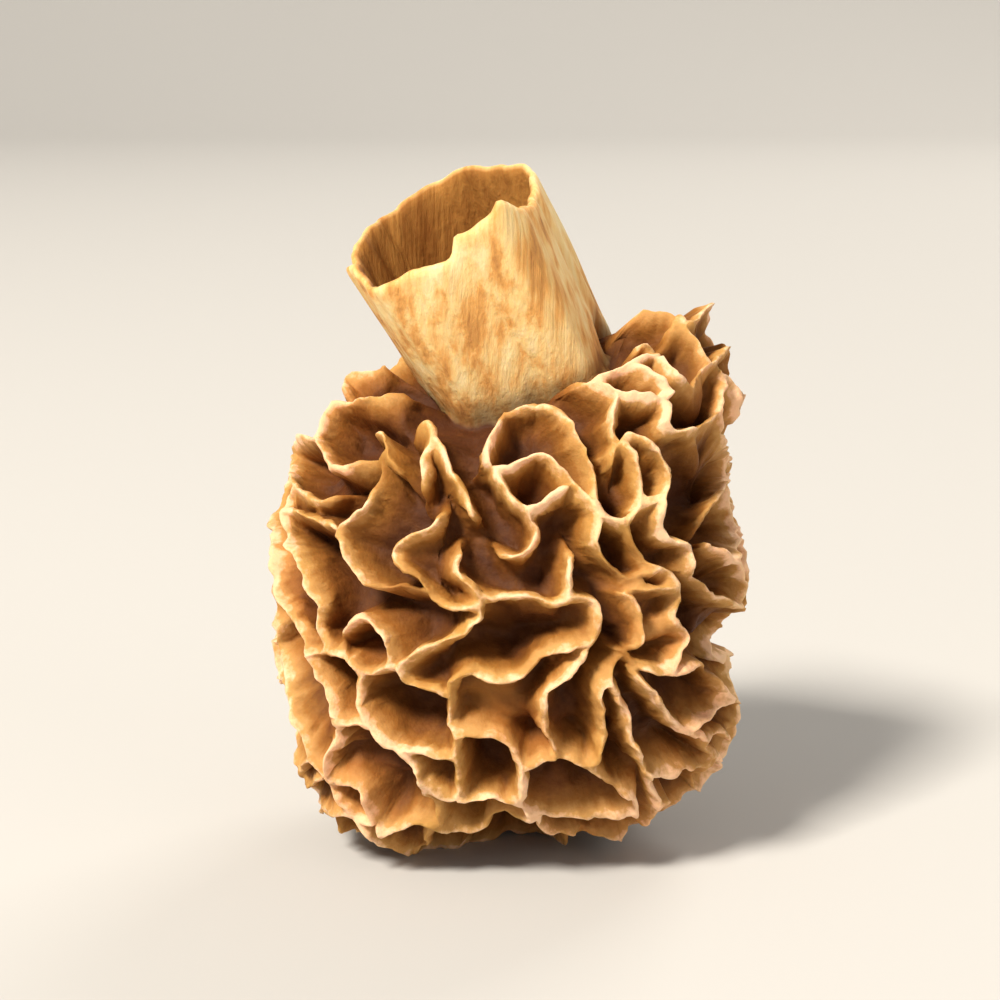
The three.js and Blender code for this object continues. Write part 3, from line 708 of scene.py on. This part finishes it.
def weather(piece):
    # The feet of the ridges stray from under their tops, and the whole dries rough and wrinkled.
    mesh = piece.data
    places = coordsOf(mesh)
    height = valuesOf(mesh, "ridgeHeight")[:, None]
    onStem = valuesOf(mesh, "onStem")[:, None]
    onCap = 1 - onStem
    near = nearNeck(unit(places))[:, None] * onCap
    outward = unit(places)
    moved = places + winding(places + 7) * ridge["lean"] * (height - 0.9) * near
    # ragged tops, and uneven walls and floors
    top = np.clip(height * 3 - 2, 0, 1) * onCap
    rags = sum(noiseAt(places, size, shift) * depth for size, shift, depth in ridge["ragged"])
    moved += outward * top * rags
    for size, amount in cap["rough"]:
        push = np.concatenate([noiseAt(places, size, shift) for shift in (11, 23, 37)], 1)
        moved += push * amount * onCap
    # lengthwise wrinkles on the stem
    fromFoot = places - np.array(stem["from"])
    along = fromFoot @ stemAxis
    away = fromFoot - along[:, None] * stemAxis
    outOfStem = unit(away)
    stretched = outOfStem * stem["radius"] + stemAxis * (along * stem["drawnOut"])[:, None]
    broad, fine = stem["wrinkleSizes"]
    wrinkle = noiseAt(stretched, broad, 3) + 0.5 * noiseAt(stretched, fine, 8)
    upStem = np.clip(along / 2, 0, 1)[:, None] * onStem * np.where(along[:, None] > 0, 1, 0)
    moved += outOfStem * wrinkle * stem["wrinkles"] * upStem
    mesh.vertices.foreach_set("co", moved.ravel())
    mesh.update()


def buildMorel():
    directions, places, height, faces = coverCap(drawRidges())
    mesh = bpy.data.meshes.new("morel_flesh")
    mesh.from_pydata([tuple(place) for place in places], [], faces)
    piece = bpy.data.objects.new("morel_flesh", mesh)
    bpy.context.collection.objects.link(piece)
    print("cap has", len(places), "points before the stem")
    bm = bmesh.new()
    bm.from_mesh(mesh)
    for name in ("ridgeHeight", "onStem", "inside"):
        bm.verts.layers.float.new(name)
    bm.verts.ensure_lookup_table()
    layer = bm.verts.layers.float["ridgeHeight"]
    for vert, value in zip(bm.verts, height):
        vert[layer] = value
    neckFace = bm.faces.new([bm.verts[i] for i in range(stem["points"])])
    growStem(bm, neckFace)
    bmesh.ops.recalc_face_normals(bm, faces=bm.faces)
    bm.to_mesh(mesh)
    bm.free()
    smoother = piece.modifiers.new("smoother", "SUBSURF")
    smoother.levels = smoother.render_levels = 1
    applyModifier(piece, "smoother")
    weather(piece)
    return piece


morel = buildMorel()
triangles = sum(len(polygon.vertices) - 2 for polygon in morel.data.polygons)
print("morel has", len(morel.data.vertices), "points and", triangles, "triangles")


def fitToBox(piece, box):  # presses the crown flat, and fits the whole into this box, in metres
    mesh = piece.data
    places = coordsOf(mesh)
    places[:, 2] = np.maximum(places[:, 2] - places[:, 2].min() - cap["pressed"], 0)
    low, high = places.min(0), places.max(0)
    boxLow, boxHigh = np.array(box[0]), np.array(box[1])
    print("fit scale", (boxHigh - boxLow) * 1000 / (high - low))
    places = boxLow + (places - low) * (boxHigh - boxLow) / (high - low)
    mesh.vertices.foreach_set("co", places.ravel())
    mesh.update()


fitToBox(morel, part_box("morel"))
bpy.ops.object.select_all(action="DESELECT")
morel.select_set(True)
bpy.context.view_layer.objects.active = morel
bpy.ops.object.shade_smooth()


def newMaterial(name):
    material = bpy.data.materials.new(name)
    material.use_nodes = True
    nodes = material.node_tree.nodes
    shader = nodes["Principled BSDF"]
    return material, nodes, material.node_tree.links, shader


flesh = {
    # how high on a ridge, and the colour there: the flesh's own colour, with painted shade darkening
    # the pits and a painted highlight on the crest tops
    "cap": [(0, (0.07, 0.018, 0.002)), (0.27, (0.155, 0.05, 0.006)), (0.6, (0.32, 0.128, 0.022)),
            (0.86, (0.57, 0.3, 0.09)), (0.96, (0.95, 0.6, 0.36))],
    "mottling": 0.42,  # how far patches shift along those colours
    # how many to a metre, and how finely broken
    "patches": (420, 5),
    "specks": (1900, 4),
    "tints": (210, 3),
    "streaks": (1300, 5),
    "clouds": (260, 3),  # on the stem
    "dullness": (1300, 4),
    "capGrain": [(2600, 6, 0.7), (900, 3)],
    "stemGrain": [(3200, 5), (2600, 4)],
    "squeezed": 0.06,  # the stem's streaks and grain, lengthwise
    # from the pale to the dark streaks of the stem
    "stem": [(0.3, (0.95, 0.74, 0.38)), (0.48, (0.9, 0.6, 0.24)), (0.6, (0.78, 0.39, 0.11)),
             (0.78, (0.38, 0.15, 0.04))],
    "bore": [(0.3, (0.58, 0.27, 0.06)), (0.7, (0.3, 0.11, 0.018))],
    # where it is greener, plain, or redder
    "tint": [(0.35, (0.97, 0.95, 0.78)), (0.5, (1, 1, 1)), (0.68, (1, 0.87, 0.78))],
    "rough": (0.55, 0.8),
    "grain": (0.55, 0.00016),  # strength, and height in metres
    "glow": 0.1,  # light that passes through the thin ridges
    "glowDepth": 0.0009,  # metres that the red of it reaches
    "glowShares": (1, 0.4, 0.12),  # red, green and blue
    "shine": 0.25,
}


def driedFlesh():
    material, nodes, links, shader = newMaterial("driedFlesh")
    place = nodes.new("ShaderNodeTexCoord").outputs["Object"]

    def attribute(name):
        node = nodes.new("ShaderNodeAttribute")
        node.attribute_name = name
        return node.outputs["Fac"]

    def noiseOf(vector, scale, detail, roughness=0.6):
        node = nodes.new("ShaderNodeTexNoise")
        node.inputs["Scale"].default_value = scale
        node.inputs["Detail"].default_value = detail
        node.inputs["Roughness"].default_value = roughness
        links.new(vector, node.inputs["Vector"])
        return node.outputs["Fac"]

    def addShare(first, second, factor, offset=0):  # first + second * factor + offset
        times = nodes.new("ShaderNodeMath")
        times.operation = "MULTIPLY_ADD"
        times.inputs[1].default_value = factor
        times.inputs[2].default_value = offset
        links.new(second, times.inputs[0])
        add = nodes.new("ShaderNodeMath")
        add.operation = "ADD"
        links.new(first, add.inputs[0])
        links.new(times.outputs[0], add.inputs[1])
        return add.outputs[0]

    def rampOf(value, stops):
        node = nodes.new("ShaderNodeValToRGB")
        elements = node.color_ramp.elements
        while len(elements) < len(stops):
            elements.new(0.5)
        for element, (position, colour) in zip(elements, stops):
            element.position = position
            element.color = (*colour, 1)
        links.new(value, node.inputs["Fac"])
        return node.outputs["Color"]

    def blend(factor, first, second, way="MIX"):
        node = nodes.new("ShaderNodeMix")
        node.data_type = "RGBA"
        node.blend_type = way
        if isinstance(factor, float):
            node.inputs["Factor"].default_value = factor
        else:
            links.new(factor, node.inputs["Factor"])
        links.new(first, node.inputs["A"])
        links.new(second, node.inputs["B"])
        return node.outputs["Result"]

    # turned so that the stem stands upright, and squeezed lengthwise
    alongStem = nodes.new("ShaderNodeMapping")
    upright = Vector(stemAxis).rotation_difference(Vector((0, 0, 1)))
    alongStem.inputs["Rotation"].default_value = upright.to_euler()
    alongStem.inputs["Scale"].default_value = (1, 1, flesh["squeezed"])
    links.new(place, alongStem.inputs["Vector"])
    stretched = alongStem.outputs["Vector"]

    mottling = flesh["mottling"]
    patches = noiseOf(place, *flesh["patches"])
    # ridge height, with real mottling on top, sets the cap colour: painted shade down in the pits
    # and a painted highlight along the crests
    heightShadeAndMottling = addShare(attribute("ridgeHeight"), patches, mottling, -mottling / 2)
    heightShadeAndMottling = addShare(heightShadeAndMottling, noiseOf(place, *flesh["specks"]), 0.3, -0.15)
    capColourWithPaintedLight = rampOf(heightShadeAndMottling, flesh["cap"])
    tint = rampOf(noiseOf(place, *flesh["tints"]), flesh["tint"])
    capColourWithPaintedLight = blend(1.0, capColourWithPaintedLight, tint, "MULTIPLY")
    clouds = noiseOf(place, *flesh["clouds"])
    streaks = addShare(noiseOf(stretched, *flesh["streaks"]), clouds, 0.6, -0.3)
    stemColour = rampOf(streaks, flesh["stem"])
    boreColour = rampOf(streaks, flesh["bore"])
    stemColour = blend(attribute("inside"), stemColour, boreColour)
    colour = blend(attribute("onStem"), capColourWithPaintedLight, stemColour)
    links.new(colour, shader.inputs["Base Color"])

    rough = nodes.new("ShaderNodeMapRange")
    rough.inputs["To Min"].default_value, rough.inputs["To Max"].default_value = flesh["rough"]
    links.new(noiseOf(place, *flesh["dullness"]), rough.inputs["Value"])
    links.new(rough.outputs["Result"], shader.inputs["Roughness"])

    fine, coarse = flesh["capGrain"]
    capGrain = addShare(noiseOf(place, *fine), noiseOf(place, *coarse), 0.8)
    fibres, specks = flesh["stemGrain"]
    stemGrain = addShare(noiseOf(stretched, *fibres), noiseOf(place, *specks), 0.4)
    grain = blend(attribute("onStem"), capGrain, stemGrain)
    bump = nodes.new("ShaderNodeBump")
    bump.inputs["Strength"].default_value, bump.inputs["Distance"].default_value = flesh["grain"]
    links.new(grain, bump.inputs["Height"])
    links.new(bump.outputs["Normal"], shader.inputs["Normal"])

    shader.inputs["Subsurface Weight"].default_value = flesh["glow"]
    shader.inputs["Subsurface Radius"].default_value = flesh["glowShares"]
    shader.inputs["Subsurface Scale"].default_value = flesh["glowDepth"]
    shader.inputs["Specular IOR Level"].default_value = flesh["shine"]
    return material


morel.data.materials.append(driedFlesh())

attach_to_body(morel, "root")
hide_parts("morel")


backdrop = {
    "width": 3,
    "front": -0.8,
    "back": 0.55,
    "curve": 0.35,  # radius of the bend from floor to wall
    "height": 1.2,
    "colour": (0.54, 0.526, 0.502),
}


def paleFloor():  # a sheet that runs back and then curves up
    steps = 24
    profile = [(backdrop["front"], 0)]
    for i in range(steps + 1):
        angle = math.pi / 2 * i / steps
        bend = backdrop["curve"]
        profile.append((backdrop["back"] + bend * math.sin(angle), bend * (1 - math.cos(angle))))
    profile.append((backdrop["back"] + backdrop["curve"], backdrop["height"]))
    half = backdrop["width"] / 2
    corners = [(x, y, z) for y, z in profile for x in (-half, half)]
    faces = [(2 * i, 2 * i + 1, 2 * i + 3, 2 * i + 2) for i in range(len(profile) - 1)]
    mesh = bpy.data.meshes.new("floor")
    mesh.from_pydata(corners, [], faces)
    floor = bpy.data.objects.new("floor", mesh)
    bpy.context.collection.objects.link(floor)
    bpy.ops.object.select_all(action="DESELECT")
    floor.select_set(True)
    bpy.context.view_layer.objects.active = floor
    bpy.ops.object.shade_smooth()
    material, nodes, links, shader = newMaterial("palePaper")
    shader.inputs["Base Color"].default_value = (*backdrop["colour"], 1)
    shader.inputs["Roughness"].default_value = 0.9
    floor.data.materials.append(material)


paleFloor()

studio = {
    "middle": (-0.0003, 0, 0.0155),  # what the camera looks at
    "distance": 0.107,
    "elevation": math.radians(12),
    "lens": 85,
    # name, place, size, power, colour
    "lights": [
        ("keyLight", (-0.42, -0.5, 0.7), 0.2, 15.3, (1, 0.94, 0.85)),
        ("fillLight", (0.6, -0.5, 0.25), 0.5, 1, (1, 0.95, 0.9)),
        ("backLight", (0.3, 0.5, 0.45), 0.3, 2.2, (1, 0.95, 0.88)),
    ],
    "sky": 0.29,
}


def aim(thing, target):
    thing.rotation_euler = (Vector(target) - thing.location).to_track_quat("-Z", "Y").to_euler()


def addStudio():
    for name, place, size, power, colour in studio["lights"]:
        data = bpy.data.lights.new(name, "AREA")
        data.size, data.energy, data.color = size, power, colour
        light = bpy.data.objects.new(name, data)
        light.location = place
        aim(light, studio["middle"])
        bpy.context.collection.objects.link(light)
    world = bpy.data.worlds.new("studioSky")
    bpy.context.scene.world = world
    bpy.context.scene.view_settings.view_transform = "Standard"
    world.use_nodes = True
    world.node_tree.nodes["Background"].inputs["Color"].default_value = (1, 0.97, 0.93, 1)
    world.node_tree.nodes["Background"].inputs["Strength"].default_value = studio["sky"]


def addCamera():
    camera = bpy.data.objects.new("camera", bpy.data.cameras.new("camera"))
    camera.data.lens = studio["lens"]
    camera.data.clip_start = 0.005
    middle = Vector(studio["middle"])
    away = Vector((0, -math.cos(studio["elevation"]), math.sin(studio["elevation"])))
    camera.location = middle + away * studio["distance"]
    aim(camera, middle)
    bpy.context.collection.objects.link(camera)
    bpy.context.scene.camera = camera


addStudio()
addCamera()
